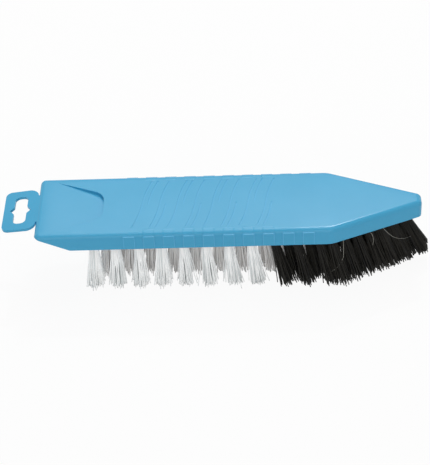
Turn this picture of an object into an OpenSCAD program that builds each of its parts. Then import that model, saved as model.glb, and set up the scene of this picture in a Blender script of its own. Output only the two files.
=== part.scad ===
// Grout brush: a moulded block with a hang tab, and bristle tufts set in its underside.
// Millimetres. The brush lies along X with its hang tab at -X and its pointed nose at +X.
// The tufts point down, and their tips stand on z = 0.

/* [Block] */
// Length of the block from its tab end to the tip of the nose
block_l = 230.5; // [220:0.5:260]
// Width of the block
block_w = 56; // [52:0.5:64]
// Thickness of the block
block_t = 11.5; // [11:0.5:16]
// Length of the pointed nose, from the shoulders to the tip
nose_l = 55; // [45:1:65]
// Width of the flat tip of the nose
tip_w = 9; // [8:0.5:16]
// Radius of the upright corners, seen from above
corner_r = 3.5; // [3.5:0.25:6]
// Radius of the shoulders, seen from above
shoulder_r = 14; // [6:1:24]
// Radius of the round along the top edge
edge_r = 3; // [2:0.25:3.25]
// Bevel along the bottom edge
foot_bevel = 0.5; // [0.2:0.1:1]

/* [Underside ramp at the tab end] */
// Distance from the tab end at which the underside starts to rise
ramp_start = 21.8; // [18:0.2:27]
// Length of the level lip between the ramp and the tab end
lip_l = 1; // [0.5:0.5:6]
// Thickness of the lip
lip_t = 2; // [2:0.1:2.8]
// Radius of the round where the ramp leaves the flat underside
ramp_r = 4; // [1:0.5:8]

/* [Hang tab] */
// Length of the tab, along its own slope
tab_l = 20.4; // [18:0.2:26]
// Width of the tab
tab_w = 37; // [34:0.5:44]
// How much narrower each side of the tab is at its outer end than near the block
tab_swell = 0.6; // [0:0.1:1.5]
// Radius of the tab's corners at the block
neck_r = 6; // [4:0.25:7]
// Thickness of the tab
tab_t = 1.7; // [1.4:0.1:2.2]
// Angle by which the tab slopes down from the block
tab_droop = 6; // [0:1:14]
// Depth of the tab's top face under the block's top face, at the tab end
tab_drop = 0.8; // [0.6:0.1:1.1]
// Radius of the tab's outer corners
tab_r = 4; // [3:0.5:6]

/* [Hang slot] */
// Length of the slot, across the tab
slot_l = 25; // [20:0.5:27]
// Width of the slot, along the tab
slot_w = 7.8; // [6:0.2:8]
// Radius of the slot's corners
slot_r = 3.2; // [2:0.1:3.8]
// Distance between the points of the slot's two notches
notch_span = 12.75; // [11:0.25:14]
// Width of each notch at the slot's side
notch_w = 6.5; // [5:0.25:8]
// Distance from the tab end of the block to the middle of the slot
slot_x = 10.2; // [9:0.2:10.6]

/* [Thumb rest] */
// Distance from the tab end at which the rest starts
rest_start = 11; // [9:0.5:14]
// Distance from the tab end to the rest's round front wall
rest_end = 40; // [36:0.5:46]
// Width of the rest where it starts
rest_w = 46; // [40:0.5:48]
// Width of the rest at its front wall
rest_front_w = 23; // [18:0.5:28]
// Depth of the rest at its front wall
rest_depth = 2.2; // [1.2:0.1:2.4]
// Radius of the front corners, seen from above
rest_r = 9; // [5:0.5:10]

/* [Side grips] */
// Number of grip pads on each side
pad_n = 10; // [6:1:10]
// Distance from the tab end to the first pad
pad_start = 52.8; // [46:0.1:58]
// Distance from one pad to the next
pad_pitch = 11.75; // [10:0.25:12.5]
// Length of a pad along the brush
pad_l = 6.9; // [4:0.1:8]
// How far a pad stands out of the side
pad_out = 0.4; // [0.3:0.05:1]
// Depth of a pad's flat top under the block's top face
pad_drop = 1.6; // [1.2:0.1:2.4]
// Gap between a pad's lower end and the block's underside
pad_foot = 1.2; // [0.8:0.1:2]

/* [Ripple grooves] */
// Number of groove pairs on the top
ripple_n = 8; // [4:1:8]
// Distance from the tab end to the middle of the first pair
ripple_start = 65; // [60:0.5:68]
// Distance from one pair to the next
ripple_pitch = 10.6; // [9:0.2:11]
// Distance between the two grooves of a pair
ripple_gap = 3.6; // [2.8:0.1:4.4]
// Width of the band of grooves, across the brush
ripple_w = 44; // [36:1:44]
// How far a groove's far end lies in front of its near end
ripple_shift = 11; // [8:0.5:18]
// Angle through which each half of a groove bends
ripple_bend = 16; // [12:1:36]
// Width of a groove
groove_w = 0.8; // [0.5:0.1:1.2]
// Depth of a groove
groove_d = 0.2; // [0.15:0.05:0.6]

/* [Tufts] */
// Length of the black tufts under the block
trim_l = 35.5; // [28:0.5:42]
// Distance by which the white tufts end short of the black ones
white_short = 2; // [0:0.5:4]
// Number of tufts along each outer row, up to the shoulder
outer_n = 11; // [9:1:11]
// Number of those tufts that are white, from the tab end
outer_white_n = 8; // [6:1:8]
// Number of tufts along each inner row, all white
inner_n = 11; // [8:1:11]
// Number of tufts along each slanted edge of the nose
nose_n = 6; // [4:1:6]
// Number of tufts in the nose part of each second row
second_nose_n = 3; // [1:1:3]
// Number of tufts on the middle line of the nose, behind the tip
middle_n = 3; // [2:1:3]
// Distance from the tab end to the first tuft of the outer rows
first_x = 34.3; // [34:0.1:37]
// Distance from the block's edge to the tufts nearest to it
edge_gap = 8.35; // [7.5:0.05:9]
// Distance by which the inner rows start in front of the outer rows
stagger = 8; // [6:0.1:8.4]
// Distance by which the tufts of the inner rows stand closer than those of the outer rows
inner_closer = 0.14; // [0:0.02:0.2]
// Distance from the last tuft of an outer row to the turn of the row at the shoulder
row_end_gap = 6.1; // [6:0.1:8]
// Distance from that turn to the first tuft along the nose's edge
nose_start_gap = 1; // [0.6:0.1:1.4]
// Distance from the last tuft along the nose's edge to the brush's middle line
nose_end_gap = 9.5; // [9.2:0.1:9.8]
// Distance of the second rows of black tufts inwards from the outer rows
second_gap = 6.55; // [6.4:0.05:6.7]
// Distance from one tuft to the next in the nose part of a second row
second_pitch = 8.8; // [8.6:0.1:9]
// Distance from the last tuft of the middle line to the tip tuft
tip_tuft_gap = 17; // [16.5:0.1:17.5]
// Distance from one tuft to the next on the middle line
middle_pitch = 10.75; // [10:0.05:11]
// Distance from the end of the nose to the tip tuft
tip_gap = 11; // [10:0.1:12]
// Diameter of a tuft hole
hole_d = 5; // [4:0.1:5.4]
// Depth of a tuft hole
hole_depth = 8; // [6:0.25:8.25]
// Lean of the tufts at the tab end, towards the nose
lean_tab = -2; // [-4:0.5:2]
// Lean of the last tufts before the black ones
lean_white = 8; // [5:0.5:10]
// Lean of the white tufts between black ones
lean_between = 5; // [4:0.5:8]
// Lean of the first black tufts
lean_black = 12.5; // [10:0.5:16]
// Lean of the tuft at the tip of the nose
lean_tip = 25; // [16:0.5:28]
// Angle at which the trim rises under the nose
nose_rise = 8; // [0:0.5:12]
// Distance from the tab end at which the trim starts to rise
rise_start = 188; // [184:1:200]

/* [Bristles] */
// Number of strands round the middle one in a tuft
ring_n = 6; // [5:1:6]
// Radius of a strand where it leaves the tuft's root
strand_root_r = 0.72; // [0.5:0.02:0.76]
// Radius of a white strand at its tip
white_strand_r = 1.45; // [0.8:0.05:1.5]
// Radius at its tip of a black strand, and of a white one between black tufts
black_strand_r = 0.95; // [0.7:0.05:1]
// Distance by which the strands of a white tuft spread from its middle
white_spread = 4.1; // [3:0.1:4.6]
// Distance by which the strands of those tufts spread from their middle
black_spread = 2.2; // [1.8:0.1:2.3]
// Distance by which every other strand ends short of the trim
short_by = 1.6; // [0:0.1:3]
// Length of the root that shows under the block
root_out = 0.5; // [0.3:0.1:1]

/* [Anchors] */
// Thickness of the flat anchor wire
anchor_t = 0.5; // [0.3:0.05:0.7]
// Width of the flat anchor wire
anchor_w = 1.8; // [1.4:0.1:2.2]
// Thickness of the fold of bristle over the anchor
fold_t = 1.2; // [0.8:0.1:2]

/* [Fits] */
// Gap between a tuft's root and its hole
root_gap = 0.05; // [0.02:0.01:0.15]
// Gap between an anchor's ends and the hole
anchor_gap = 0.08; // [0.05:0.01:0.15]
// Gap between an anchor and the fold round it
fold_gap = 0.05; // [0.02:0.01:0.1]

/* [Hidden] */
$fn = 48;
// Facets of a large round
fine_fn = 180;
// Overlap of shapes that are one moulding, and reach of a cut past what it cuts
lap = 0.5;
reach = 40;
// Length of the hang tab that runs on inside the block's lip
tab_root = 2;
// Widest step of the block's round corners, in degrees, and steps of the round of its top edge
arc_step = 9;
edge_steps = 6;

half_w = block_w / 2;
shoulder_x = block_l - nose_l;
side_taper = (block_w - tip_w) / 2;
// Direction of the nose's near edge, and how far it turns from the brush's length
nose_edge_l = norm([nose_l, side_taper]);
nose_dir = [nose_l, side_taper] / nose_edge_l;
nose_angle = atan2(side_taper, nose_l);

// Powers of the curves by which the lean of the white and of the black tufts grows
white_lean_power = 1.6;
black_lean_power = 2.5;

// The block's outline from above, corner by corner, each with its radius
outline = [
    [0, -half_w, corner_r],
    [shoulder_x, -half_w, shoulder_r],
    [block_l, -tip_w / 2, corner_r],
    [block_l, tip_w / 2, corner_r],
    [shoulder_x, half_w, shoulder_r],
    [0, half_w, corner_r],
];

// Rows of tufts. Each is laid out on the near side, and mirrored to the far side.
outer_y = half_w - edge_gap;
inner_y = outer_y / 3;
// Where the outer row turns to run on along the nose's edge, and where the second row does
nose_turn_x = shoulder_x - edge_gap * tan(nose_angle / 2);
second_turn_x = nose_turn_x - second_gap * tan(nose_angle / 2);
tuft_pitch = (nose_turn_x - row_end_gap - first_x) / (outer_n - 1);
inner_pitch = tuft_pitch - inner_closer;
nose_pitch = (outer_y / nose_dir[1] - nose_start_gap - nose_end_gap) / (nose_n - 1);
tip_tuft_x = block_l - tip_gap;
// Where the lean changes, halfway between the first black tuft and the white one before it
change_x = first_x + outer_white_n * tuft_pitch - (tuft_pitch - stagger) / 2;

outer_spots = [for (k = [0:outer_n - 1]) [first_x + k * tuft_pitch, outer_y]];
inner_spots = [for (k = [0:inner_n - 1]) [first_x + stagger + k * inner_pitch, inner_y]];
nose_spots = [
    for (k = [0:nose_n - 1])
        let (run = nose_start_gap + k * nose_pitch)
            [nose_turn_x + run * nose_dir[0], outer_y - run * nose_dir[1]]
];
second_straight_spots = [
    for (k = [outer_white_n:outer_n - 2]) [first_x + stagger + k * inner_pitch, outer_y - second_gap]
];
second_nose_spots = [
    for (k = [0:second_nose_n - 1])
        let (run = k * second_pitch)
            [second_turn_x + run * nose_dir[0], outer_y - second_gap - run * nose_dir[1]]
];
middle_spots = [for (k = [0:middle_n - 1]) [tip_tuft_x - tip_tuft_gap - k * middle_pitch, 0]];

// Tufts as [node, x, y, white?], from spots with y counted outwards from the middle line
SIDES = [["near", -1], ["far", 1]];
function tufts_of(spots, place, white, first = 1) = [
    for (side = SIDES) for (k = [0:len(spots) - 1])
        [str(white ? "white" : "black", "_tuft_", side[0], "_", place, "_", k + first),
            spots[k][0], side[1] * spots[k][1], white]
];
function first_of(list, n) = [for (k = [0:n - 1]) list[k]];
function rest_of(list, n) = [for (k = [n:len(list) - 1]) list[k]];
// The inner rows' tufts share a node in pairs, and so do the tufts of the middle line
inner_tufts = [
    for (side = SIDES) for (k = [0:inner_n - 1])
        [str("white_tufts_inner_", k + 1), inner_spots[k][0], side[1] * inner_spots[k][1], true]
];
middle_tufts = [for (spot = middle_spots) ["black_tufts_middle", spot[0], spot[1], false]];
TUFTS = concat(
    tufts_of(first_of(outer_spots, outer_white_n), "outer", true),
    inner_tufts,
    tufts_of(rest_of(outer_spots, outer_white_n), "outer", false, outer_white_n + 1),
    tufts_of(concat(second_straight_spots, second_nose_spots), "second", false),
    tufts_of(nose_spots, "nose", false),
    middle_tufts,
    [["black_tuft_tip", tip_tuft_x, 0, false]]
);

// Lean of a tuft. It grows from the tab end to the last white tufts, and is stronger in the
// black ones, up to the tip of the nose.
function lean(t) =
    let (
        white_part = max(t[1] - first_x, 0) / (change_x - first_x),
        black_part = (t[1] - change_x) / (tip_tuft_x - change_x)
    )
        !t[3] ? lean_black + (lean_tip - lean_black) * pow(black_part, black_lean_power)
            : t[1] > change_x ? lean_between
            : lean_tab + (lean_white - lean_tab) * pow(white_part, white_lean_power);
// Height of the trim at x, above its level part
function trim_z(x) = max(x - rise_start, 0) * tan(nose_rise);
// Depth of the level part of the trim under the block, for a white or a black tuft
function trim_depth(t) = t[3] ? trim_l - white_short : trim_l;
// Where the middle of a tuft ends: the point on the trim below its leaning axis
function tip_x(t) =
    let (s = tan(lean(t)), flat = t[1] + s * trim_depth(t))
        flat < rise_start ? flat : (flat + s * tan(nose_rise) * rise_start)
            / (1 + s * tan(nose_rise));

// Place of strand k at a radius r from the middle of a tuft: a ring, and the last in the middle.
// Tufts on the far side are mirror images of those on the near side.
function ring_spot(k, r, side) =
    k == ring_n ? [0, 0] : r * [cos(360 * k / ring_n), side * sin(360 * k / ring_n)];
function side_of(t) = t[2] > 0 ? -1 : 1;
// A white tuft has room to spread, but not between the black ones
function has_room(t) = t[3] && t[1] < change_x;
function spread(t) = has_room(t) ? white_spread : black_spread;
function strand_tip_r(t) = has_room(t) ? white_strand_r : black_strand_r;
// Distance by which strand k ends short of the trim
function shortfall(k) = k % 2 == 1 && k < ring_n ? short_by : 0;
root_r = hole_d / 2 - root_gap;
root_top = hole_depth - root_gap;
// The two ends of strand k of tuft t, under the block: inside the root, and at the trim
function strand_top(t, k) =
    let (spot = ring_spot(k, root_r - strand_root_r, side_of(t)))
        [t[1] + spot[0] - tan(lean(t)) * root_out, t[2] + spot[1], root_out];
function strand_tip(t, k) =
    let (
        spot = ring_spot(k, spread(t), side_of(t)),
        x = tip_x(t) + spot[0],
        lift = trim_z(x) - trim_z(tip_x(t)) + shortfall(k)
    ) [x - tan(lean(t)) * lift, t[2] + spot[1], trim_z(x) + shortfall(k) - trim_depth(t)];

// The brush's ends along X: the hang tab, and the foremost strand or the nose
tab_reach = tab_l * cos(tab_droop);
tip_tuft = TUFTS[len(TUFTS) - 1];
front_x = max(block_l, strand_tip(tip_tuft, 0)[0] + strand_tip_r(tip_tuft) / 2);
middle_of_length = (front_x - tab_reach) / 2;
underside_z = trim_l;

// Every node once: the tufts that share a name are solids of one node
tuft_nodes = [for (i = [0:len(TUFTS) - 1]) if (search([TUFTS[i][0]], TUFTS)[0] == i) TUFTS[i][0]];

// Corner i of an outline, with the directions of the edges that meet there
function corner(pts, i) =
    let (
        n = len(pts),
        p = [pts[i][0], pts[i][1]],
        before = [pts[(i + n - 1) % n][0], pts[(i + n - 1) % n][1]],
        after = [pts[(i + 1) % n][0], pts[(i + 1) % n][1]],
        d1 = (p - before) / norm(p - before),
        d2 = (after - p) / norm(after - p),
        turn = acos(d1 * d2),
        run = pts[i][2] * tan(turn / 2)
    ) [p - d1 * run, p + d2 * run, p - d1 * run + pts[i][2] * [-d1[1], d1[0]], d1, turn];

// A convex outline, counter-clockwise, with its corners rounded by arcs
module rounded_outline(pts) {
    polygon([for (i = [0:len(pts) - 1]) for (j = [0, 1]) corner(pts, i)[j]]);
    for (i = [0:len(pts) - 1])
        if (pts[i][2] > 0)
            translate(corner(pts, i)[2]) circle(r = pts[i][2]);
}

// A level ring of points round the block's outline, drawn in by an inset
function ring_points(level) = [
    for (i = [0:len(outline) - 1])
        let (
            c = corner(outline, i),
            r = outline[i][2] - level[1],
            start = atan2(c[3][1], c[3][0]) - 90,
            steps = ceil(c[4] / arc_step)
        )
            for (k = [0:steps])
                let (a = start + c[4] * k / steps) [c[2][0] + r * cos(a), c[2][1] + r * sin(a), level[0]]
];

// The block's plain body, as rings from the underside up over the round of the top edge
module block_body() {
    levels = concat(
        [[0, foot_bevel], [foot_bevel, 0]],
        [for (k = [0:edge_steps])
            let (a = 90 * k / edge_steps)
                [block_t - edge_r * (1 - sin(a)), edge_r * (1 - cos(a))]]
    );
    rings = [for (level = levels) ring_points(level)];
    n = len(rings[0]);
    last = (len(levels) - 1) * n;
    walls = [
        for (j = [0:len(levels) - 2]) for (k = [0:n - 1])
            let (here = j * n + k, next = j * n + (k + 1) % n) [here, here + n, next + n, next]
    ];
    polyhedron(
        [for (ring = rings) each ring],
        concat([[for (k = [0:n - 1]) k], [for (k = [0:n - 1]) last + n - 1 - k]], walls)
    );
}

module ramp_cut() {
    lip_z = block_t - lip_t;
    rise = atan2(lip_z, ramp_start - lip_l);
    // The round that eases the ramp into the flat underside is left standing
    run = ramp_r * tan(rise / 2);
    translate([0, reach, 0]) rotate([90, 0, 0]) linear_extrude(2 * reach)
        difference() {
            polygon([
                [-reach, -reach],
                [ramp_start + run, -reach],
                [ramp_start + run, 0],
                [ramp_start - run * cos(rise), run * sin(rise)],
                [lip_l, lip_z],
                [-reach, lip_z],
            ]);
            translate([ramp_start + run, ramp_r]) circle(r = ramp_r, $fn = fine_fn);
        }
}

// A tongue-shaped hollow whose floor slopes down to a round front wall
module thumb_rest() {
    floor_angle = atan2(rest_depth, rest_end - rest_start);
    intersection() {
        linear_extrude(2 * block_t)
            rounded_outline([
                [rest_start, -rest_w / 2, 0],
                [rest_end, -rest_front_w / 2, rest_r],
                [rest_end, rest_front_w / 2, rest_r],
                [rest_start, rest_w / 2, 0],
            ]);
        translate([rest_start, 0, block_t]) rotate([0, floor_angle, 0])
            translate([0, -reach, 0]) cube([2 * reach, 2 * reach, block_t]);
    }
}

// The grip pads of the far side: blocks with a flat top that stands out of the round top edge
module grip_pads() {
    for (k = [0:pad_n - 1])
        translate([pad_start + k * pad_pitch, half_w - edge_r, pad_foot])
            cube([pad_l, edge_r + pad_out, block_t - pad_drop - pad_foot]);
}

// A bent stroke of given width from the origin to the point [dx, dy]
module bent_stroke(dx, dy, bend, width) {
    chord = norm([dx, dy]);
    r = chord / (2 * sin(bend / 2));
    rotate([0, 0, atan2(dy, dx)]) translate([chord / 2, -r * cos(bend / 2)])
        intersection() {
            difference() {
                circle(r = r + width / 2, $fn = fine_fn);
                circle(r = r - width / 2, $fn = fine_fn);
            }
            polygon([
                [0, 0],
                [2 * r * sin(-bend / 2), 2 * r * cos(bend / 2)],
                [2 * r * sin(bend / 2), 2 * r * cos(bend / 2)],
            ]);
        }
}

// One groove: two strokes that bend opposite ways and meet on the brush's middle line
module ripple(part) {
    half = [ripple_shift, ripple_w] / 2;
    for (side = [1, -1])
        if (part == 0 || part == side)
            rotate([0, 0, side > 0 ? 0 : 180]) bent_stroke(half[0], half[1], ripple_bend, groove_w);
}

module ripple_grooves() {
    translate([0, 0, block_t - groove_d]) linear_extrude(block_t)
        for (k = [0:ripple_n - 1]) {
            x = ripple_start + k * ripple_pitch;
            translate([x - ripple_gap / 2, 0]) ripple(0);
            translate([x + ripple_gap / 2, 0]) ripple(k % 2 == 0 ? 1 : -1);
        }
}

module tab_outline() {
    difference() {
        union() {
            rounded_outline([
                [-tab_l, -tab_w / 2 + tab_swell, tab_r],
                [0, -tab_w / 2, neck_r],
                [0, tab_w / 2, neck_r],
                [-tab_l, tab_w / 2 - tab_swell, tab_r],
            ]);
            translate([-lap, neck_r - tab_w / 2]) square([lap + tab_root, tab_w - 2 * neck_r]);
        }
        translate([-slot_x, 0]) {
            rounded_outline([for (c = [[-1, -1], [1, -1], [1, 1], [-1, 1]])
                [c[0] * slot_w / 2, c[1] * slot_l / 2, slot_r]]);
            polygon([for (a = [0:3])
                [cos(90 * a) * notch_span / 2,
                    sin(90 * a) * notch_w / 2 * notch_span / (notch_span - slot_w)]]);
        }
    }
}

module hang_tab() {
    translate([0, 0, block_t - tab_drop]) rotate([0, -tab_droop, 0])
        translate([0, 0, -tab_t]) linear_extrude(tab_t) tab_outline();
}

// Stands its children in the hole of a tuft at [x, y], with +Z up along the hole's axis
module at_hole(t) {
    translate([t[1], t[2], 0]) rotate([0, -lean(t), 0]) children();
}

module brush_block() {
    color([0.36, 0.68, 0.85])
        translate([-middle_of_length, 0, underside_z])
            difference() {
                union() {
                    difference() {
                        union() {
                            block_body();
                            grip_pads();
                            mirror([0, 1, 0]) grip_pads();
                        }
                        ramp_cut();
                    }
                    hang_tab();
                }
                thumb_rest();
                ripple_grooves();
                for (t = TUFTS)
                    at_hole(t) translate([0, 0, -block_t])
                        cylinder(d = hole_d, h = hole_depth + block_t);
            }
}

// The space of an anchor near the hole's bottom, grown by a gap, with a length across the hole
module anchor_space(gap, length) {
    translate([-anchor_t / 2 - gap, -length / 2, root_top - fold_t - anchor_w - gap])
        cube([anchor_t + 2 * gap, length, anchor_w + 2 * gap]);
}

// The flat anchor wires that hold the tufts, one across each hole
module tuft_anchors() {
    color([0.75, 0.76, 0.78])
        translate([-middle_of_length, 0, underside_z])
            for (t = TUFTS)
                at_hole(t) anchor_space(0, hole_d - 2 * anchor_gap);
}

// A three-sided strand with level ends, from p (above) to q (below)
module strand(p, p_r, q, q_r, turn) {
    ends = [[p, p_r], [q, q_r]];
    points = [for (e = ends) for (k = [0:2])
        e[0] + e[1] * [cos(turn + 120 * k), sin(turn + 120 * k), 0]];
    sides = [for (k = [0:2]) let (m = (k + 1) % 3) each [[k, m, m + 3], [k, m + 3, k + 3]]];
    polyhedron(points, concat([[0, 2, 1], [3, 4, 5]], sides), convexity = 2);
}

// The root of a tuft: the folded bundle in its hole, open where the anchor passes.
// It is drawn one hole's width too long, and cut level under the block.
module tuft_root(t) {
    difference() {
        at_hole(t) translate([0, 0, -hole_d])
            cylinder(r = root_r, h = root_top + hole_d);
        translate([t[1] - reach, t[2] - reach, -reach - root_out])
            cube([2 * reach, 2 * reach, reach]);
        at_hole(t) anchor_space(fold_gap, 2 * hole_d);
    }
}

module tuft(t) {
    color(t[3] ? [0.93, 0.94, 0.94] : [0.09, 0.09, 0.09])
        translate([-middle_of_length, 0, underside_z]) {
            tuft_root(t);
            for (k = [0:ring_n])
                strand(strand_top(t, k), strand_root_r, strand_tip(t, k), strand_tip_r(t),
                    k == ring_n ? 0 : side_of(t) * (360 * k / ring_n + 180));
        }
}

brush_block();
tuft_anchors();
for (t = TUFTS)
    tuft(t);
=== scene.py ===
# %% [markdown]
# # A grout brush, dressed in Blender
# The brush is one blue plastic moulding with bristle tufts set in its underside: white ones along
# most of it, and stiff black ones under the pointed nose. The CAD model holds its real shape and
# every hole. This lesson loads that model as a fixed frame, plants real bundles of bristle in the
# holes, and gives each surface its finish.

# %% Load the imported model
import math
import random

import bpy
from mathutils import Matrix, Vector


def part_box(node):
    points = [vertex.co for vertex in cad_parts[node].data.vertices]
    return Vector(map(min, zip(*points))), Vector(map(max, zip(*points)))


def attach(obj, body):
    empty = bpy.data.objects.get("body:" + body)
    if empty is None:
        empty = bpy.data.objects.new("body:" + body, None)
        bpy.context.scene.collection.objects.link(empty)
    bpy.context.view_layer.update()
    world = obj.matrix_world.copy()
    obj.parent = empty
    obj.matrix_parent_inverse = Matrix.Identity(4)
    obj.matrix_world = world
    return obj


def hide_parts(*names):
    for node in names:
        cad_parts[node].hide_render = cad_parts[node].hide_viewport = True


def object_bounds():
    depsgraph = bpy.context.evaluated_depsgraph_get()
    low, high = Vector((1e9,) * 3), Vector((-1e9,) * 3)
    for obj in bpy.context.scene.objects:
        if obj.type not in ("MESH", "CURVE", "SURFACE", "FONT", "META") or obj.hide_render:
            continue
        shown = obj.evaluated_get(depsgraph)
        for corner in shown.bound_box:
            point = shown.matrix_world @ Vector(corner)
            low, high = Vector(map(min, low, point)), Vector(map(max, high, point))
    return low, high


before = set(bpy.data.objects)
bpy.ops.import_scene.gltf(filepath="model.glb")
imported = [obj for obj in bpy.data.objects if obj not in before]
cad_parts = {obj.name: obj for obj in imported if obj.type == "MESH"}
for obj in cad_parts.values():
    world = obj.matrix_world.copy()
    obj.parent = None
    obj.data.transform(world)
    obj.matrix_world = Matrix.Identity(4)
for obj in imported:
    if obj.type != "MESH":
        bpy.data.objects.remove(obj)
cad_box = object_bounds()
MM = 0.001
TUFT_NODES = sorted(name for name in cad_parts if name.startswith(("white_", "black_")))
print("CAD nodes:", len(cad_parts), "of which tufts:", len(TUFT_NODES))
print("CAD box in mm:", [[round(v / MM, 1) for v in corner] for corner in cad_box])

# %% [markdown]
# ## Where the block lies
# The frame's origin is the middle of the whole brush, at the bristle tips. The block is easier to
# describe from its own tab end and its own underside, so both are worked out once, from the box of
# the CAD block: its lowest X is the outer end of the hang tab, which slopes down by 6 degrees.

# %% Block places
TAB_LENGTH = 20.4 * MM
TAB_SLOPE = math.radians(6)
BLOCK_THICKNESS = 11.5 * MM
block_low, block_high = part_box("brush_block")
block_start = block_low.x + TAB_LENGTH * math.cos(TAB_SLOPE)
top_z = block_high.z
underside = top_z - BLOCK_THICKNESS
print("block starts at", round(block_start / MM, 2), "mm")
print("underside at", round(underside / MM, 2), "mm")

# %% [markdown]
# ## The camera
# The photograph looks down on the brush from its near side, with a long lens, so that the far edge
# is only a little shorter than the near one. The camera is put on a line that rises 40 degrees from
# the middle of the block. It leans a little, because the brush in the photograph isn't quite level.

# %% Camera
CAMERA_RISE = math.radians(40.0)
CAMERA_YAW = math.radians(2.02)
CAMERA_ROLL = math.radians(-2.8)
CAMERA_DISTANCE = 968 * MM
PHOTO_HEIGHT_PX = 465
FOCAL_PX = 1604
SENSOR = 36.0
LOOK_ALONG = 106.6 * MM
LOOK_BELOW = 9.1 * MM
CLIP_NEAR = 0.05
CLIP_FAR = 20


def add_camera():
    """A camera on the photograph's line of sight, made from its three axes."""
    back = Vector((
        math.sin(CAMERA_YAW) * math.cos(CAMERA_RISE),
        -math.cos(CAMERA_YAW) * math.cos(CAMERA_RISE),
        math.sin(CAMERA_RISE),
    ))
    level = Vector((math.cos(CAMERA_YAW), math.sin(CAMERA_YAW), 0))
    right = Matrix.Rotation(CAMERA_ROLL, 3, back) @ level
    up = back.cross(right)
    target = Vector((block_start + LOOK_ALONG, 0, underside)) - up * LOOK_BELOW
    data = bpy.data.cameras.new("photo_camera")
    data.sensor_width = SENSOR
    data.lens = FOCAL_PX * SENSOR / PHOTO_HEIGHT_PX
    data.clip_start = CLIP_NEAR
    data.clip_end = CLIP_FAR
    camera = bpy.data.objects.new("photo_camera", data)
    bpy.context.scene.collection.objects.link(camera)
    turned = Matrix((right, up, back)).transposed().to_4x4()
    camera.matrix_world = Matrix.Translation(target + back * CAMERA_DISTANCE) @ turned
    bpy.context.scene.camera = camera
    return camera


camera = add_camera()
print("camera at", [round(v, 3) for v in camera.location], "lens", round(camera.data.lens, 1), "mm")

# %% [markdown]
# ## Small helpers
# A material is a tree of nodes, and each finish of the brush needs a dozen of them or more. Six
# helpers keep those recipes short. They start an empty material, add a node with its sockets set
# and linked, do a sum, turn one range into another, mix two colours, and lay a noise on the brush.
# With them, a recipe reads as a few lines that say what is on the surface.

# %% Shader helpers
# Where a Mix node keeps its two colour inputs and its colour output
MIX_COLOUR_INPUTS = (6, 7)
MIX_COLOUR_OUTPUT = 2


def new_material(name):
    """An empty node material; returns the material, its tree and its output node."""
    material = bpy.data.materials.new(name)
    material.use_nodes = True
    tree = material.node_tree
    tree.nodes.clear()
    return material, tree, tree.nodes.new("ShaderNodeOutputMaterial")


def add_node(tree, kind, links=(), **inputs):
    """Adds a node, sets the sockets that are named, and links (socket, source) pairs into it."""
    node = tree.nodes.new(kind)
    for socket, value in inputs.items():
        node.inputs[socket.replace("_", " ")].default_value = value
    for socket, source in links:
        tree.links.new(source, node.inputs[socket])
    return node


def calculate(tree, operation, a, b):
    """A Math node; a and b are numbers or sockets."""
    node = tree.nodes.new("ShaderNodeMath")
    node.operation = operation
    for place, value in enumerate((a, b)):
        if isinstance(value, (int, float)):
            node.inputs[place].default_value = value
        else:
            tree.links.new(value, node.inputs[place])
    return node.outputs[0]


def ramp(tree, value, low, high, start=0.0, end=1.0):
    """Runs from start to end as the value goes from low to high, and stays inside that range."""
    node = add_node(tree, "ShaderNodeMapRange", [("Value", value)])
    node.inputs["From Min"].default_value = low
    node.inputs["From Max"].default_value = high
    node.inputs["To Min"].default_value = start
    node.inputs["To Max"].default_value = end
    return node.outputs[0]


def mix_colour(tree, factor, a, b):
    """Mixes two colours; each is a tuple or a socket."""
    mix = tree.nodes.new("ShaderNodeMix")
    mix.data_type = "RGBA"
    tree.links.new(factor, mix.inputs[0])
    for place, colour in zip(MIX_COLOUR_INPUTS, (a, b)):
        if isinstance(colour, tuple):
            mix.inputs[place].default_value = (*colour, 1)
        else:
            tree.links.new(colour, mix.inputs[place])
    return mix.outputs[MIX_COLOUR_OUTPUT]


def object_noise(tree, scale, detail=2.0, stretch=(1, 1, 1)):
    """Noise on Object coordinates, which are the row frame's metres, drawn out by a stretch."""
    place = tree.nodes.new("ShaderNodeTexCoord")
    drawn = add_node(tree, "ShaderNodeMapping", [("Vector", place.outputs["Object"])])
    drawn.inputs["Scale"].default_value = stretch
    noise = add_node(tree, "ShaderNodeTexNoise", [("Vector", drawn.outputs[0])],
                     Scale=scale, Detail=detail)
    return noise.outputs["Fac"]


print("helpers ready")

# %% [markdown]
# ## The stage
# A pale floor holds the shadow, and a white world fills the rest. Both are lifted towards white
# only for what the camera sees directly or in a gloss, through the Light Path node, so that they
# add nothing to the light on the brush. Two lamps are large and soft, as in a product studio: a key
# from above that makes the top lighter than the sides, and a low fill from the near side that
# reaches in among the bristles. A third, small one stands behind the brush. The round top edge
# mirrors it as a fine bright line, which is brightest at the corner where the nose starts.

# %% Floor
FLOOR_SIZE = 6.0
FLOOR_TONE = 0.8
FLOOR_LIFT = 0.93


def clear_selection():
    bpy.ops.object.select_all(action="DESELECT")


def seen_directly(tree):
    """A factor that is 1 for rays from the camera, and in what glossy and clear surfaces show."""
    rays = add_node(tree, "ShaderNodeLightPath")
    seen = calculate(tree, "MAXIMUM", rays.outputs["Is Camera Ray"], rays.outputs["Is Glossy Ray"])
    return calculate(tree, "MAXIMUM", seen, rays.outputs["Is Transmission Ray"])


def floor_material():
    """Matt paper, which is mixed towards plain white where it is seen directly."""
    material, tree, output = new_material("floor_paper")
    paper = add_node(tree, "ShaderNodeBsdfDiffuse", Color=(FLOOR_TONE, FLOOR_TONE, FLOOR_TONE, 1))
    lift = add_node(tree, "ShaderNodeEmission", Strength=1.0)
    share = calculate(tree, "MULTIPLY", seen_directly(tree), FLOOR_LIFT)
    both = add_node(tree, "ShaderNodeMixShader",
                    [(0, share), (1, paper.outputs[0]), (2, lift.outputs[0])])
    tree.links.new(both.outputs[0], output.inputs["Surface"])
    return material


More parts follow.
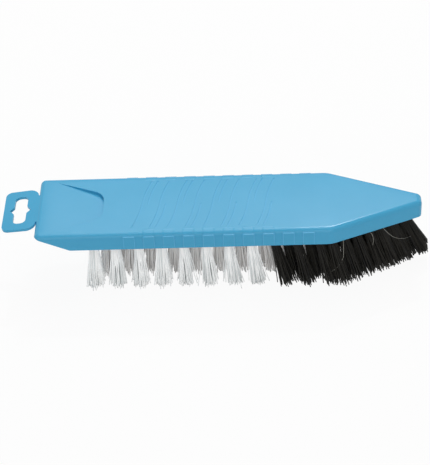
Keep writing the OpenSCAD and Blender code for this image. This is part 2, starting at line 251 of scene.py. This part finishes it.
clear_selection()
bpy.ops.mesh.primitive_plane_add(size=FLOOR_SIZE, location=(0, 0, 0))
floor = bpy.context.object
floor.name = "floor"
floor.data.materials.append(floor_material())
print("floor of", FLOOR_SIZE, "m")

# %% World and lamps
WORLD_LIGHT = 0.38
LAMPS_FACE = Vector((0, 0, 30)) * MM
# For each lamp: its place and its width and height in metres, and its watts
LAMPS = {
    "key_soft_box": ((0.0, 0.44, 1.1), (0.56, 1.3), 6.2),
    "fill_soft_box": ((0.0, -1.4, 0.5), (1.6, 1.6), 9.0),
    "edge_light": ((0.155, 0.71, 0.97), (0.04, 0.04), 2.8),
}


def light_world():
    """A white world, dim as a light and full where it is seen directly."""
    world = bpy.data.worlds.new("studio")
    bpy.context.scene.world = world
    world.use_nodes = True
    tree = world.node_tree
    tree.nodes.clear()
    output = tree.nodes.new("ShaderNodeOutputWorld")
    strength = ramp(tree, seen_directly(tree), 0, 1, WORLD_LIGHT, 1.0)
    sky = add_node(tree, "ShaderNodeBackground", [("Strength", strength)], Color=(1, 1, 1, 1))
    tree.links.new(sky.outputs[0], output.inputs["Surface"])


def add_lamp(name, place, size, watts):
    """A soft box that faces the middle of the brush."""
    data = bpy.data.lights.new(name, "AREA")
    data.shape = "RECTANGLE"
    data.size, data.size_y = size
    data.energy = watts
    lamp = bpy.data.objects.new(name, data)
    bpy.context.scene.collection.objects.link(lamp)
    lamp.location = place
    lamp.rotation_euler = (LAMPS_FACE - Vector(place)).to_track_quat("-Z", "Y").to_euler()


light_world()
for lamp_name, (place, size, watts) in LAMPS.items():
    add_lamp(lamp_name, place, size, watts)
print("lamps:", list(LAMPS))

# %% [markdown]
# ## One bristle
# A bristle is a round plastic filament about half a millimetre thick. It comes off a spool, so
# each one keeps a little of its bend. A single ring of points is drawn and then extruded step by
# step, with a small turn at each step, and the last ring is drawn in to a blunt tip. Six bends are
# enough, because every copy is spun round its own axis.

# %% Bristle shapes
BRISTLE_SIDES = 6
BRISTLE_STEPS = 7
TIP_TAPER = 0.6
# The turn of each bristle over its upper and its lower half, in degrees
BENDS = {
    "straight": (0.5, 1.0),
    "soft": (1.5, 2.5),
    "curved": (2.0, 5.0),
    "counter": (3.0, -4.0),
    "wavy": (-4.0, 5.0),
    "bowed": (4.0, 3.0),
}


def heading_vector(angle):
    """Down along -Z, turned by an angle towards +X."""
    return Vector((math.sin(angle), 0, -math.cos(angle)))


def extrude_bristle(name, radius, length, bend):
    """A bristle that hangs from the origin along -Z, bent in the XZ plane."""
    clear_selection()
    bpy.ops.mesh.primitive_circle_add(
        vertices=BRISTLE_SIDES, radius=radius, fill_type="NGON", location=(0, 0, 0))
    bristle = bpy.context.object
    bristle.name = name
    bpy.ops.object.mode_set(mode="EDIT")
    heading = 0.0
    end = Vector((0, 0, 0))
    for k in range(BRISTLE_STEPS):
        half_turn = bend[0] if 2 * k < BRISTLE_STEPS else bend[1]
        heading += math.radians(half_turn) * 2 / BRISTLE_STEPS
        move = heading_vector(heading) * length / BRISTLE_STEPS
        end += move
        bpy.ops.mesh.extrude_region_move(TRANSFORM_OT_translate={"value": move})
    tip = heading_vector(heading) * radius * TIP_TAPER
    bpy.ops.mesh.extrude_region_move(TRANSFORM_OT_translate={"value": tip})
    bpy.ops.transform.resize(value=(TIP_TAPER, TIP_TAPER, 1), center_override=end + tip)
    bpy.ops.mesh.select_all(action="SELECT")
    bpy.ops.mesh.normals_make_consistent(inside=False)
    bpy.ops.object.mode_set(mode="OBJECT")
    bpy.ops.object.shade_smooth()
    return bristle


def mark_run(bristle, length):
    """Writes on each point how far down the bristle it is, from 0 at its root to 1 at its tip."""
    run = bristle.data.attributes.new("bristle_run", "FLOAT", "POINT")
    for k, v in enumerate(bristle.data.vertices):
        run.data[k].value = min(-v.co.z / length, 1)


print("a bristle has", BRISTLE_STEPS + 1, "sections of", BRISTLE_SIDES, "faces")

# %% [markdown]
# ## A tuft
# A real tuft is a bundle of bristles folded in half over a flat wire and pushed into its hole, so
# both ends of every bristle stand out, packed as tightly as circles go. The copies are laid out on
# a sunflower spiral, which fills a round hole evenly, and each one is tilted outwards by its share
# of the fan. A few stray further. Each copy writes on its points a tone of its own, so that the
# material can tell one bristle from the next, and how near it is to the rim of the tuft.

# %% Tuft maker
GOLDEN_TURN = math.pi * (3 - math.sqrt(5))
HIDDEN_ROOT = 2.0 * MM
# Most bristles are nearly as long as the longest, and only a few are much shorter
RAGGED_POWER = 3


def select_only(piece):
    """Makes one object the only one that is selected, and the active one."""
    clear_selection()
    piece.select_set(True)
    bpy.context.view_layer.objects.active = piece


def own_copy(source, name):
    """A copy of an object with a mesh of its own."""
    copy = source.copy()
    copy.data = source.data.copy()
    copy.name = name
    bpy.context.scene.collection.objects.link(copy)
    return copy


def join_all(parts, name):
    """Joins objects into the first one."""
    select_only(parts[0])
    for part in parts:
        part.select_set(True)
    bpy.ops.object.join()
    parts[0].name = name
    return parts[0]


def place_bristle(bristle, kind, k, dice):
    """Moves bristle k of a tuft to its place in the root, and tilts it outwards."""
    share = math.sqrt((k + 0.5) / kind["count"])
    around = k * GOLDEN_TURN
    out = Vector((math.cos(around), math.sin(around), 0))
    fan = kind["fan"] * share + dice.gauss(0, kind["mess"])
    if dice.random() < kind["strays"]:
        fan += dice.uniform(*kind["stray_fan"])
    short = dice.random() ** RAGGED_POWER * kind["ragged"]
    tilt = Matrix.Rotation(math.radians(fan), 4, Vector((0, 0, -1)).cross(out))
    side_tilt = Matrix.Rotation(math.radians(dice.gauss(0, kind["mess"])), 4, out)
    spin = Matrix.Rotation(dice.uniform(0, 2 * math.pi), 4, "Z")
    stretch = Matrix.Diagonal((1, 1, 1 - short / kind["length"], 1))
    root = Matrix.Translation(out * share * kind["root_radius"] + Vector((0, 0, HIDDEN_ROOT)))
    bristle.data.transform(root @ tilt @ side_tilt @ spin @ stretch)
    tone = bristle.data.attributes.new("bristle_tone", "FLOAT", "POINT")
    tone.data.foreach_set("value", [dice.random()] * len(bristle.data.vertices))
    rim = bristle.data.attributes.new("bristle_rim", "FLOAT", "POINT")
    rim.data.foreach_set("value", [share] * len(bristle.data.vertices))


def make_tuft(name, kind, seed):
    """A bundle of bristles round the origin, hanging along -Z, longer than it will be trimmed."""
    dice = random.Random(seed)
    shapes = []
    for bend_name, bend in BENDS.items():
        shape = extrude_bristle(f"{name}_{bend_name}", kind["radius"], kind["length"], bend)
        mark_run(shape, kind["length"])
        shapes.append(shape)
    parts = []
    for k in range(kind["count"]):
        bristle = own_copy(dice.choice(shapes), f"{name}_{k}")
        place_bristle(bristle, kind, k, dice)
        parts.append(bristle)
    for shape in shapes:
        bpy.data.objects.remove(shape)
    return join_all(parts, name)


# %% Tuft masters
# Lengths are in metres and angles in degrees
WHITE = {
    "radius": 0.24 * MM,
    "length": 37.5 * MM,
    "count": 115,
    "root_radius": 2.2 * MM,
    "fan": 3.7,
    "mess": 0.45,
    "strays": 0.05,
    "stray_fan": (1.0, 3.0),
    "ragged": 4.0 * MM,
}
# The rows behind the near one are spread wider, and between black tufts there is less room
WIDE_WHITE = {**WHITE, "fan": 6.0}
NARROW_WHITE = {**WHITE, "fan": 2.4, "strays": 0.0}
BLACK = {
    "radius": 0.3 * MM,
    "length": 42.5 * MM,
    "count": 84,
    "root_radius": 2.3 * MM,
    "fan": 2.0,
    "mess": 0.35,
    "strays": 0.03,
    "stray_fan": (1.0, 3.0),
    "ragged": 2.5 * MM,
}
# Under the nose the black tufts spread until they meet
NOSE_BLACK = {**BLACK, "fan": 3.9, "mess": 0.6}


def make_masters(name, kind, first_seed, number):
    """Several tufts of one kind, each from a seed of its own."""
    return [make_tuft(f"{name}_{k}", kind, first_seed + k) for k in range(number)]


white_masters = make_masters("white_master", WHITE, first_seed=11, number=4)
wide_masters = make_masters("wide_master", WIDE_WHITE, first_seed=26, number=3)
narrow_masters = make_masters("narrow_master", NARROW_WHITE, first_seed=21, number=1)
black_masters = make_masters("black_master", BLACK, first_seed=31, number=3)
nose_masters = make_masters("nose_master", NOSE_BLACK, first_seed=41, number=4)
print("faces in a white tuft:", len(white_masters[0].data.polygons),
      "in a black tuft:", len(black_masters[0].data.polygons))

# %% [markdown]
# ## Planting and trimming
# On the real brush the holes are drilled at a lean that grows towards the nose and is strongest in
# the black tufts. The planted brush is then trimmed level in one pass, with a cut that rises a
# little under the nose; the black ones are left two millimetres longer. The same is done here: each
# copy is spun, leaned to its hole's axis and moved to the mouth of the hole, which is measured on
# the CAD tuft. Then a bisect cuts off what hangs below the trim, and the cut ends are closed.

# %% Tuft places
ROOT_SHOWN = 0.5 * MM
ROOT_ACROSS = 5.2 * MM
CUT_LEVEL_SLACK = 0.01 * MM
# Leans towards the nose, in degrees
LEAN_AT_TAB = -2.0
LEAN_LAST_WHITE = 8.0
LEAN_BETWEEN_BLACK = 5.0
LEAN_FIRST_BLACK = 12.5
LEAN_AT_TIP = 25.0
# The higher the power, the later the lean grows
WHITE_LEAN_POWER = 1.6
BLACK_LEAN_POWER = 2.5


def mouths_of(node):
    """The middle of each level cut that ends a CAD tuft's root, just under its hole."""
    level = underside - ROOT_SHOWN
    points = [v.co.copy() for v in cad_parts[node].data.vertices]
    points = [p for p in points if abs(p.z - level) < CUT_LEVEL_SLACK]
    found = []
    while points:
        ring = [p for p in points if (p - points[0]).length < ROOT_ACROSS]
        points = [p for p in points if (p - points[0]).length >= ROOT_ACROSS]
        xs = [p.x for p in ring]
        ys = [p.y for p in ring]
        found.append(Vector(((min(xs) + max(xs)) / 2, (min(ys) + max(ys)) / 2, level)))
    return found


mouths = {node: mouths_of(node) for node in TUFT_NODES}
first_x = mouths["white_tuft_near_outer_1"][0].x
tip_x = mouths["black_tuft_tip"][0].x
change_x = (mouths["black_tuft_near_outer_9"][0].x + mouths["white_tufts_inner_8"][0].x) / 2


def grow(start, end, share, power):
    """Runs from start to end as the share goes from 0 to 1, slowly at first."""
    return start + (end - start) * min(max(share, 0), 1) ** power


def lean_of(node, x):
    """The lean of a node's hole at x, in radians, towards the nose."""
    if node.startswith("black"):
        share = (x - change_x) / (tip_x - change_x)
        return math.radians(grow(LEAN_FIRST_BLACK, LEAN_AT_TIP, share, BLACK_LEAN_POWER))
    if x > change_x:
        return math.radians(LEAN_BETWEEN_BLACK)
    share = (x - first_x) / (change_x - first_x)
    return math.radians(grow(LEAN_AT_TAB, LEAN_LAST_WHITE, share, WHITE_LEAN_POWER))


print("holes:", sum(len(found) for found in mouths.values()),
      "from x =", round(first_x / MM, 1), "to", round(tip_x / MM, 1), "mm")

# %% Plant the tufts
TRIM_RISE = math.radians(8.0)
RISE_START = block_start + 188 * MM
BOX_MARGIN = 0.05 * MM
FLOOR_CLEARANCE = 0.02 * MM
WHITE_TRIM = 2.0 * MM
BISECT_THRESHOLD = 0.001 * MM


def trim(piece, point, normal):
    """Cuts off what lies behind a plane, and closes the cut ends."""
    select_only(piece)
    bpy.ops.object.mode_set(mode="EDIT")
    bpy.ops.mesh.select_all(action="SELECT")
    bpy.ops.mesh.bisect(
        plane_co=point, plane_no=normal, clear_inner=True, threshold=BISECT_THRESHOLD)
    bpy.ops.mesh.select_all(action="SELECT")
    bpy.ops.mesh.fill_holes(sides=2 * BRISTLE_SIDES)
    bpy.ops.object.mode_set(mode="OBJECT")


def masters_for(node, x):
    """The tufts to choose from for a hole at x."""
    if node.startswith("black"):
        return black_masters if "outer" in node else nose_masters
    if x > change_x:
        return narrow_masters
    return white_masters if "near_outer" in node else wide_masters


def keep_inside(piece):
    """Snips off the tips of the few bristles that stray out of the CAD model's box."""
    for axis, way in ((0, 1), (1, 1), (1, -1)):
        limit = cad_box[1][axis] if way > 0 else -cad_box[0][axis]
        if max(way * v.co[axis] for v in piece.data.vertices) > limit - BOX_MARGIN:
            normal = Vector((0, 0, 0))
            normal[axis] = -way
            trim(piece, normal * (BOX_MARGIN - limit), normal)


def plant(node, dice):
    """The bristles of one node's holes, as a piece that stands for it."""
    parts = []
    for mouth in mouths[node]:
        part = own_copy(dice.choice(masters_for(node, mouth.x)), node)
        spin = Matrix.Rotation(dice.uniform(0, 2 * math.pi), 4, "Z")
        lean = Matrix.Rotation(-lean_of(node, mouth.x), 4, "Y")
        part.data.transform(Matrix.Translation(mouth) @ lean @ spin)
        parts.append(part)
    piece = join_all(parts, node.replace("tufts", "tuft").replace("tuft", "bristles"))
    level = WHITE_TRIM if node.startswith("white") else FLOOR_CLEARANCE
    trim(piece, (0, 0, level), (0, 0, 1))
    if max(v.co.x for v in piece.data.vertices) > RISE_START:
        trim(piece, (RISE_START, 0, level), (-math.sin(TRIM_RISE), 0, math.cos(TRIM_RISE)))
    keep_inside(piece)
    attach(piece, "root")
    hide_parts(node)
    return piece


PLANTING_SEED = 7
planting = random.Random(PLANTING_SEED)
white_pieces = [plant(n, planting) for n in TUFT_NODES if n.startswith("white")]
black_pieces = [plant(n, planting) for n in TUFT_NODES if n.startswith("black")]
for master in white_masters + wide_masters + narrow_masters + black_masters + nose_masters:
    bpy.data.objects.remove(master)
print("planted", len(white_pieces), "white and", len(black_pieces), "black pieces,",
      sum(len(p.data.polygons) for p in white_pieces + black_pieces), "faces")

# %% [markdown]
# ## Bristle finishes
# The white bristles are a milky plastic. How bright they look in front is painted light: the
# bristles near the rim of each tuft in the outer rows glow a little, and the inner rows get a shaded
# copy of the material that glows less, so they stay a soft grey, not black. No two bristles have
# quite the same tone, and their cut ends are a little grey. Painted shade darkens the heart of every
# tuft, so that the outer bristles stand out, and the roots under the block. The black ones are
# thicker and dull, with a faint brown in their sheen. All read the tone, the run and the rim that
# were written on the bristles.

# %% Bristle materials
WHITE_DARK = (0.60, 0.64, 0.64)
WHITE_LIGHT = (0.985, 0.99, 0.985)
WHITE_TIP = (0.62, 0.64, 0.64)
# Painted shade, where the block shades the roots
WHITE_ROOT_SHADE = (0.80, 0.775, 0.76)
SHADED_DARK = (0.84, 0.82, 0.80)
SHADED_LIGHT = (0.93, 0.91, 0.89)
BLACK_DARK = (0.004, 0.004, 0.004)
BLACK_LIGHT = (0.012, 0.011, 0.008)
BLACK_TIP = (0.012, 0.012, 0.011)
# Painted shade, where the block shades the roots
BLACK_ROOT_SHADE = (0.005, 0.005, 0.004)
WHITES = (WHITE_DARK, WHITE_LIGHT, WHITE_TIP, WHITE_ROOT_SHADE)
SHADED = (SHADED_DARK, SHADED_LIGHT, WHITE_TIP, SHADED_DARK)
BLACKS = (BLACK_DARK, BLACK_LIGHT, BLACK_TIP, BLACK_ROOT_SHADE)
OUTER_GLOW = 0.14
INNER_GLOW = 0.035
WHITE_ROUGH = 0.4
WHITE_GLOSS = 0.5
BLACK_ROUGH = 0.5
BLACK_GLOSS = 0.2
# The dark tone fades out over the lowest tones, and the painted shade over the heart of a tuft
# towards its rim and over the root down the bristle; the cut end sets in over the last of it
TONE_SPAN = (0.0, 0.3)
HEART_SHADE_SPAN = (0.45, 0.85)
ROOT_SHADE_SPAN = (0.08, 0.4)
END_SPAN = (0.935, 0.975)
END_SHARE = 0.6
STREAKS = {"scale": 900, "detail": 3.0, "stretch": (1, 1, 0.12)}
STREAK_SPAN = (0.5, 0.8)
STREAK_SHARE = 0.2
GRAIN = {"scale": 2500, "detail": 2.0, "stretch": (1, 1, 0.2)}
GRAIN_STRENGTH = 0.3
GRAIN_DEPTH = 0.05 * MM


def named_attribute(tree, name):
    node = tree.nodes.new("ShaderNodeAttribute")
    node.attribute_name = name
    return node.outputs["Fac"]


def bristle_material(name, colours, rough, gloss, glow):
    """Plastic filament: its tone from bristle to bristle, streaks along it and a duller cut end.

    The colours are dark, light, tip and root. The glow is painted light: it stands in for light that
    is passed on from bristle to bristle in a tuft, and is weaker in the inner rows, which less light
    reaches.
    """
    material, tree, output = new_material(name)
    dark, light, tip, root = colours
    run = named_attribute(tree, "bristle_run")
    tone = ramp(tree, named_attribute(tree, "bristle_tone"), *TONE_SPAN)
    # Painted shade: the root, under the block, is darker
    shown = ramp(tree, run, *ROOT_SHADE_SPAN)
    body = mix_colour(tree, tone, dark, mix_colour(tree, shown, root, light))
    # Painted shade: the heart of a tuft is mixed towards the dark tone
    outer = ramp(tree, named_attribute(tree, "bristle_rim"), *HEART_SHADE_SPAN)
    body = mix_colour(tree, outer, dark, body)
    streaks = ramp(tree, object_noise(tree, **STREAKS), *STREAK_SPAN, 0.0, STREAK_SHARE)
    marked = mix_colour(tree, streaks, body, dark)
    colour = mix_colour(tree, ramp(tree, run, *END_SPAN, 0.0, END_SHARE), marked, tip)
    bump = add_node(tree, "ShaderNodeBump", [("Height", object_noise(tree, **GRAIN))],
                    Strength=GRAIN_STRENGTH, Distance=GRAIN_DEPTH)
    shader = add_node(tree, "ShaderNodeBsdfPrincipled",
                      [("Base Color", colour), ("Normal", bump.outputs[0])], Roughness=rough)
    shader.inputs["Specular IOR Level"].default_value = gloss
    # Painted light: the bristles near the rim of a tuft glow
    shader.inputs["Emission Color"].default_value = (1, 1, 1, 1)
    tree.links.new(calculate(tree, "MULTIPLY", outer, glow), shader.inputs["Emission Strength"])
    tree.links.new(shader.outputs[0], output.inputs["Surface"])
    return material


def dress(piece, material):
    """Gives a new piece its one material, in its only slot."""
    piece.data.materials.clear()
    piece.data.materials.append(material)


# A lit copy for the outer rows, and a shaded copy with less painted glow for the inner rows
white_lit_outside = bristle_material(
    "white_filament_outside", WHITES, WHITE_ROUGH, WHITE_GLOSS, OUTER_GLOW)
white_shaded_inside = bristle_material(
    "white_filament_inside", SHADED, WHITE_ROUGH, WHITE_GLOSS, INNER_GLOW)
black_plastic = bristle_material("black_filament", BLACKS, BLACK_ROUGH, BLACK_GLOSS, 0.0)
for piece in white_pieces:
    dress(piece, white_lit_outside if "outer" in piece.name else white_shaded_inside)
for piece in black_pieces:
    dress(piece, black_plastic)
print("dressed", len(white_pieces) + len(black_pieces), "pieces")

# %% [markdown]
# ## Loose fibres
# A few thin, pale fibres are caught in the black tufts. Each one leaves the outer rim of a hole and
# curls in front of the mass.

# %% Caught fibres
FIBRE_RADIUS = 0.13 * MM
FIBRE_COLOUR = (0.36, 0.35, 0.31)
RIM = 2.1 * MM
# For each hole: length, bends of both halves, lean towards the nose and tilt outwards, in degrees
FIBRES = {
    "black_tuft_near_nose_5": (26 * MM, (20, 75), 24, 8),
    "black_tuft_near_nose_4": (16 * MM, (-5, -40), 30, 7),
    "black_tuft_near_nose_2": (31 * MM, (-10, -62), 10, 9.5),
}


def caught_fibre(node, length, bend, lean, tilt):
    """A curled fibre that leaves the near rim of a node's hole."""
    fibre = extrude_bristle("caught_fibre", FIBRE_RADIUS, length, bend)
    mark_run(fibre, length)
    rim = mouths[node][0] + Vector((0, -RIM, HIDDEN_ROOT))
    outwards = Matrix.Rotation(math.radians(-tilt), 4, "X")
    forwards = Matrix.Rotation(math.radians(-lean), 4, "Y")
    fibre.data.transform(Matrix.Translation(rim) @ outwards @ forwards)
    return fibre


fibres = join_all([caught_fibre(node, *shape) for node, shape in FIBRES.items()], "caught_fibres")
fibre_plastic = bristle_material("pale_fibre", (FIBRE_COLOUR,) * 4, WHITE_ROUGH, WHITE_GLOSS, 0.0)
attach(fibres, "root")
dress(fibres, fibre_plastic)
print("caught fibres:", len(FIBRES), "with", len(fibres.data.polygons), "faces")

# %% [markdown]
# ## The moulded block
# The block is polypropylene straight from a polished mould: a clean sky blue with a soft gloss. Up
# close it isn't perfect. The surface waves by a hundredth of a millimetre, as a thick moulding does
# when it cools, it has a fine grain, and handling has left faint marks that are a little duller.
# The colour stays even, but for painted light: the faces of the grip pads are a touch paler than the
# shaded gaps between them, their rims carry a painted highlight, and so do the inner ends of the
# very low bands that run from most pads over the round edge onto the top; the floors of the ripple
# grooves are painted paler, which lifts their shade. The bands are too low to change the block's
# outline, so they are drawn as a bump.
# All of these are found from Object coordinates, with the sizes of the pads and grooves.

# %% Pads, bands and grooves
PAD_PITCH = 11.75 * MM
PAD_LENGTH = 6.9 * MM
PAD_END = PAD_LENGTH / PAD_PITCH
PAD_TOP = underside + 9.9 * MM
PAD_FOOT = 0.1 * MM
PAD_FACE = 0.3 * MM
WALL_Y = 28.0 * MM
FIRST_PAD = block_start + 52.8 * MM
PADS = 10
HIGHLIGHT_WIDTH = 0.45 * MM
FIRST_BAND = FIRST_PAD + PAD_PITCH
BANDS = 7
BAND_EDGE = 0.04
BAND_INNER_Y = 23.2 * MM
BAND_SLOPE = 0.25 * MM
BAND_END_SLOPE = 0.1 * MM
TOP_FROM = top_z - 1.0 * MM
GROOVES_START = block_start + 60 * MM
GROOVES_END = block_start + 175 * MM
GROOVES_Y = 23.0 * MM
GROOVE_BEGUN = 0.03 * MM
GROOVE_DEEP = 0.06 * MM


def stacked_bump(tree, layers):
    """Bumps on top of each other; each layer is (height socket, depth in metres)."""
    normal = None
    for height, depth in layers:
        bump = add_node(tree, "ShaderNodeBump", [("Height", height)], Strength=1.0, Distance=depth)
        if normal is not None:
            tree.links.new(normal, bump.inputs["Normal"])
        normal = bump.outputs[0]
    return normal


def all_of(tree, *parts):
    """The product of several factors."""
    result = parts[0]
    for part in parts[1:]:
        result = calculate(tree, "MULTIPLY", result, part)
    return result


def object_axes(tree):
    """The X, the size of Y and the Z of a place on the brush."""
    place = tree.nodes.new("ShaderNodeTexCoord")
    axes = add_node(tree, "ShaderNodeSeparateXYZ", [("Vector", place.outputs["Object"])])
    across = calculate(tree, "ABSOLUTE", axes.outputs["Y"], 0)
    return axes.outputs["X"], across, axes.outputs["Z"]


def in_grooves(tree):
    """1 on the floors of the ripple grooves."""
    along, across, up = object_axes(tree)
    return all_of(
        tree,
        ramp(tree, up, top_z - GROOVE_BEGUN, top_z - GROOVE_DEEP),
        calculate(tree, "GREATER_THAN", along, GROOVES_START),
        calculate(tree, "LESS_THAN", along, GROOVES_END),
        calculate(tree, "LESS_THAN", across, GROOVES_Y),
        calculate(tree, "GREATER_THAN", up, TOP_FROM),
    )


def repeats(tree, along, first, number):
    """The run from 0 to 1 through each pad and the gap after it, and a 1 where there are pads."""
    count = calculate(tree, "DIVIDE", calculate(tree, "SUBTRACT", along, first), PAD_PITCH)
    begun = calculate(tree, "GREATER_THAN", count, 0)
    not_over = calculate(tree, "LESS_THAN", count, number)
    return calculate(tree, "FRACT", count, 0), all_of(tree, begun, not_over)


def on_pad_face(tree, across):
    """1 on what stands proud of the side wall."""
    return ramp(tree, across, WALL_Y + PAD_FOOT, WALL_Y + PAD_FACE)


def grip_bands(tree):
    """Height from 0 to 1 of the faint bands that run from the grip pads onto the top."""
    along, across, _ = object_axes(tree)
    run, there = repeats(tree, along, FIRST_BAND, BANDS)
    rise = ramp(tree, run, 0.0, BAND_EDGE)
    fall = ramp(tree, run, PAD_END - BAND_EDGE, PAD_END, 1, 0)
    from_edge = ramp(tree, across, BAND_INNER_Y, BAND_INNER_Y + BAND_SLOPE)
    return all_of(tree, rise, fall, there, from_edge)


# Painted highlights on the pads' rims and on the bands' inner ends
def painted_highlight_rims(tree):
    """1 along the rims of the pads' faces and along the inner ends of the bands."""
    along, across, up = object_axes(tree)
    run, pads = repeats(tree, along, FIRST_PAD, PADS)
    share = HIGHLIGHT_WIDTH / PAD_PITCH
    left = calculate(tree, "LESS_THAN", run, share)
    right = calculate(tree, "GREATER_THAN", run, PAD_END - share)
    upper = calculate(tree, "GREATER_THAN", up, PAD_TOP - HIGHLIGHT_WIDTH)
    rim = calculate(tree, "MAXIMUM", calculate(tree, "MAXIMUM", left, right), upper)
    pad_rims = all_of(tree, rim, on_pad_face(tree, across), pads)
    run, bands = repeats(tree, along, FIRST_BAND, BANDS)
    inner = ramp(tree, across, BAND_INNER_Y, BAND_INNER_Y + BAND_END_SLOPE)
    outer = ramp(tree, across, BAND_INNER_Y + HIGHLIGHT_WIDTH, BAND_INNER_Y + 2 * HIGHLIGHT_WIDTH, 1, 0)
    on_top = calculate(tree, "GREATER_THAN", up, TOP_FROM)
    in_band = calculate(tree, "LESS_THAN", run, PAD_END)
    band_ends = all_of(tree, inner, outer, on_top, in_band, bands)
    return calculate(tree, "MAXIMUM", pad_rims, band_ends)


print("a pad fills", round(PAD_END, 2), "of its pitch;", PADS, "pads and", BANDS, "bands")

# %% Block material
BLOCK_BLUE = (0.056, 0.368, 0.605)
BLOCK_PALE = (0.064, 0.385, 0.630)
# Painted light: the pad faces, a highlight on their rims, and the groove floors
PAD_LIT_BLUE = (0.060, 0.375, 0.615)
RIM_HIGHLIGHT_BLUE = (0.095, 0.44, 0.70)
GROOVE_LIT_BLUE = (0.068, 0.403, 0.662)
BLOCK_GLOSS = 0.27
CLOUDS = {"scale": 28, "detail": 3.0}
CLOUD_SPAN = (0.35, 0.7)
MARKS = {"scale": 420, "detail": 4.0, "stretch": (0.4, 1, 1)}
MARK_SPAN = (0.5, 0.75)
ROUGH_CLEAN = 0.2
ROUGH_MARKED = 0.21
WAVES = {"scale": 30, "detail": 0.0}
WAVE_DEPTH = 0.012 * MM
SKIN = {"scale": 1800, "detail": 1.0}
SKIN_DEPTH = 0.0004 * MM
BAND_HEIGHT = 0.12 * MM


def block_material():
    """Blue plastic: faint clouds, painted light on pads, rims and grooves, three layers of bump."""
    material, tree, output = new_material("blue_moulded_plastic")
    clouds = ramp(tree, object_noise(tree, **CLOUDS), *CLOUD_SPAN)
    colour = mix_colour(tree, clouds, BLOCK_BLUE, BLOCK_PALE)
    _, across, _ = object_axes(tree)
    # Painted light: paler pad faces, highlighted rims, and lifted shade in the grooves
    colour = mix_colour(tree, on_pad_face(tree, across), colour, PAD_LIT_BLUE)
    colour = mix_colour(tree, painted_highlight_rims(tree), colour, RIM_HIGHLIGHT_BLUE)
    colour = mix_colour(tree, in_grooves(tree), colour, GROOVE_LIT_BLUE)
    rough = ramp(tree, object_noise(tree, **MARKS), *MARK_SPAN, ROUGH_CLEAN, ROUGH_MARKED)
    normal = stacked_bump(tree, [
        (object_noise(tree, **WAVES), WAVE_DEPTH),
        (object_noise(tree, **SKIN), SKIN_DEPTH),
        (grip_bands(tree), BAND_HEIGHT),
    ])
    shader = add_node(tree, "ShaderNodeBsdfPrincipled",
                      [("Base Color", colour), ("Roughness", rough), ("Normal", normal)])
    shader.inputs["Specular IOR Level"].default_value = BLOCK_GLOSS
    tree.links.new(shader.outputs[0], output.inputs["Surface"])
    return material


def swap_material(node, material):
    """Puts a better material in every slot of a CAD node."""
    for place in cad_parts[node].material_slots:
        place.material = material


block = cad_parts["brush_block"]
swap_material("brush_block", block_material())
print("block:", len(block.data.polygons), "triangles")

# %% [markdown]
# ## Smooth shading on a CAD mesh
# A imported CAD mesh is loose triangles, so a round edge shows its facets. Its points are kept, and
# live modifiers work on it: Weld joins the triangles, Edge Split keeps the real edges crisp, and
# Weighted Normal lets the large flat faces decide the shading, so that they stay flat.

# %% Smooth the block
SHARP = math.radians(32)
WELD_WITHIN = 0.001 * MM
FLAT_WEIGHT = 100


def smooth_cad(node):
    """Smooth shading with crisp edges on a CAD node, by live modifiers."""
    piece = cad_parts[node]
    select_only(piece)
    bpy.ops.object.shade_smooth()
    weld = piece.modifiers.new("weld", "WELD")
    weld.merge_threshold = WELD_WITHIN
    split = piece.modifiers.new("crisp_edges", "EDGE_SPLIT")
    split.split_angle = SHARP
    weighted = piece.modifiers.new("flat_stays_flat", "WEIGHTED_NORMAL")
    weighted.weight = FLAT_WEIGHT


smooth_cad("brush_block")
print("modifiers:", [m.name for m in block.modifiers])

# %% [markdown]
# ## The anchor wires
# Inside each hole, where nobody sees it, a short flat wire holds the folded bristles. It is bright
# drawn steel, with fine lines along its length.

# %% Anchor material
STEEL = (0.62, 0.63, 0.65, 1)
STEEL_ROUGH = (0.25, 0.5)
DRAWN_LINES = {"scale": 3000, "detail": 2.0, "stretch": (1, 0.05, 1)}
LINE_STRENGTH = 0.5
LINE_DEPTH = 0.01 * MM


def anchor_material():
    """Steel with fine lines along its length."""
    material, tree, output = new_material("drawn_steel")
    lines = object_noise(tree, **DRAWN_LINES)
    rough = ramp(tree, lines, 0.0, 1.0, *STEEL_ROUGH)
    bump = add_node(tree, "ShaderNodeBump", [("Height", lines)],
                    Strength=LINE_STRENGTH, Distance=LINE_DEPTH)
    shader = add_node(tree, "ShaderNodeBsdfPrincipled",
                      [("Roughness", rough), ("Normal", bump.outputs[0])],
                      Base_Color=STEEL, Metallic=1.0)
    tree.links.new(shader.outputs[0], output.inputs["Surface"])
    return material


swap_material("tuft_anchors", anchor_material())
print("anchor wires:", len(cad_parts["tuft_anchors"].data.polygons), "triangles")

# %% [markdown]
# ## Finish
# The colours go out through the Standard view transform. The visual model has to stay inside
# the CAD model's box.

# %% View transform
bpy.context.scene.view_settings.view_transform = "Standard"
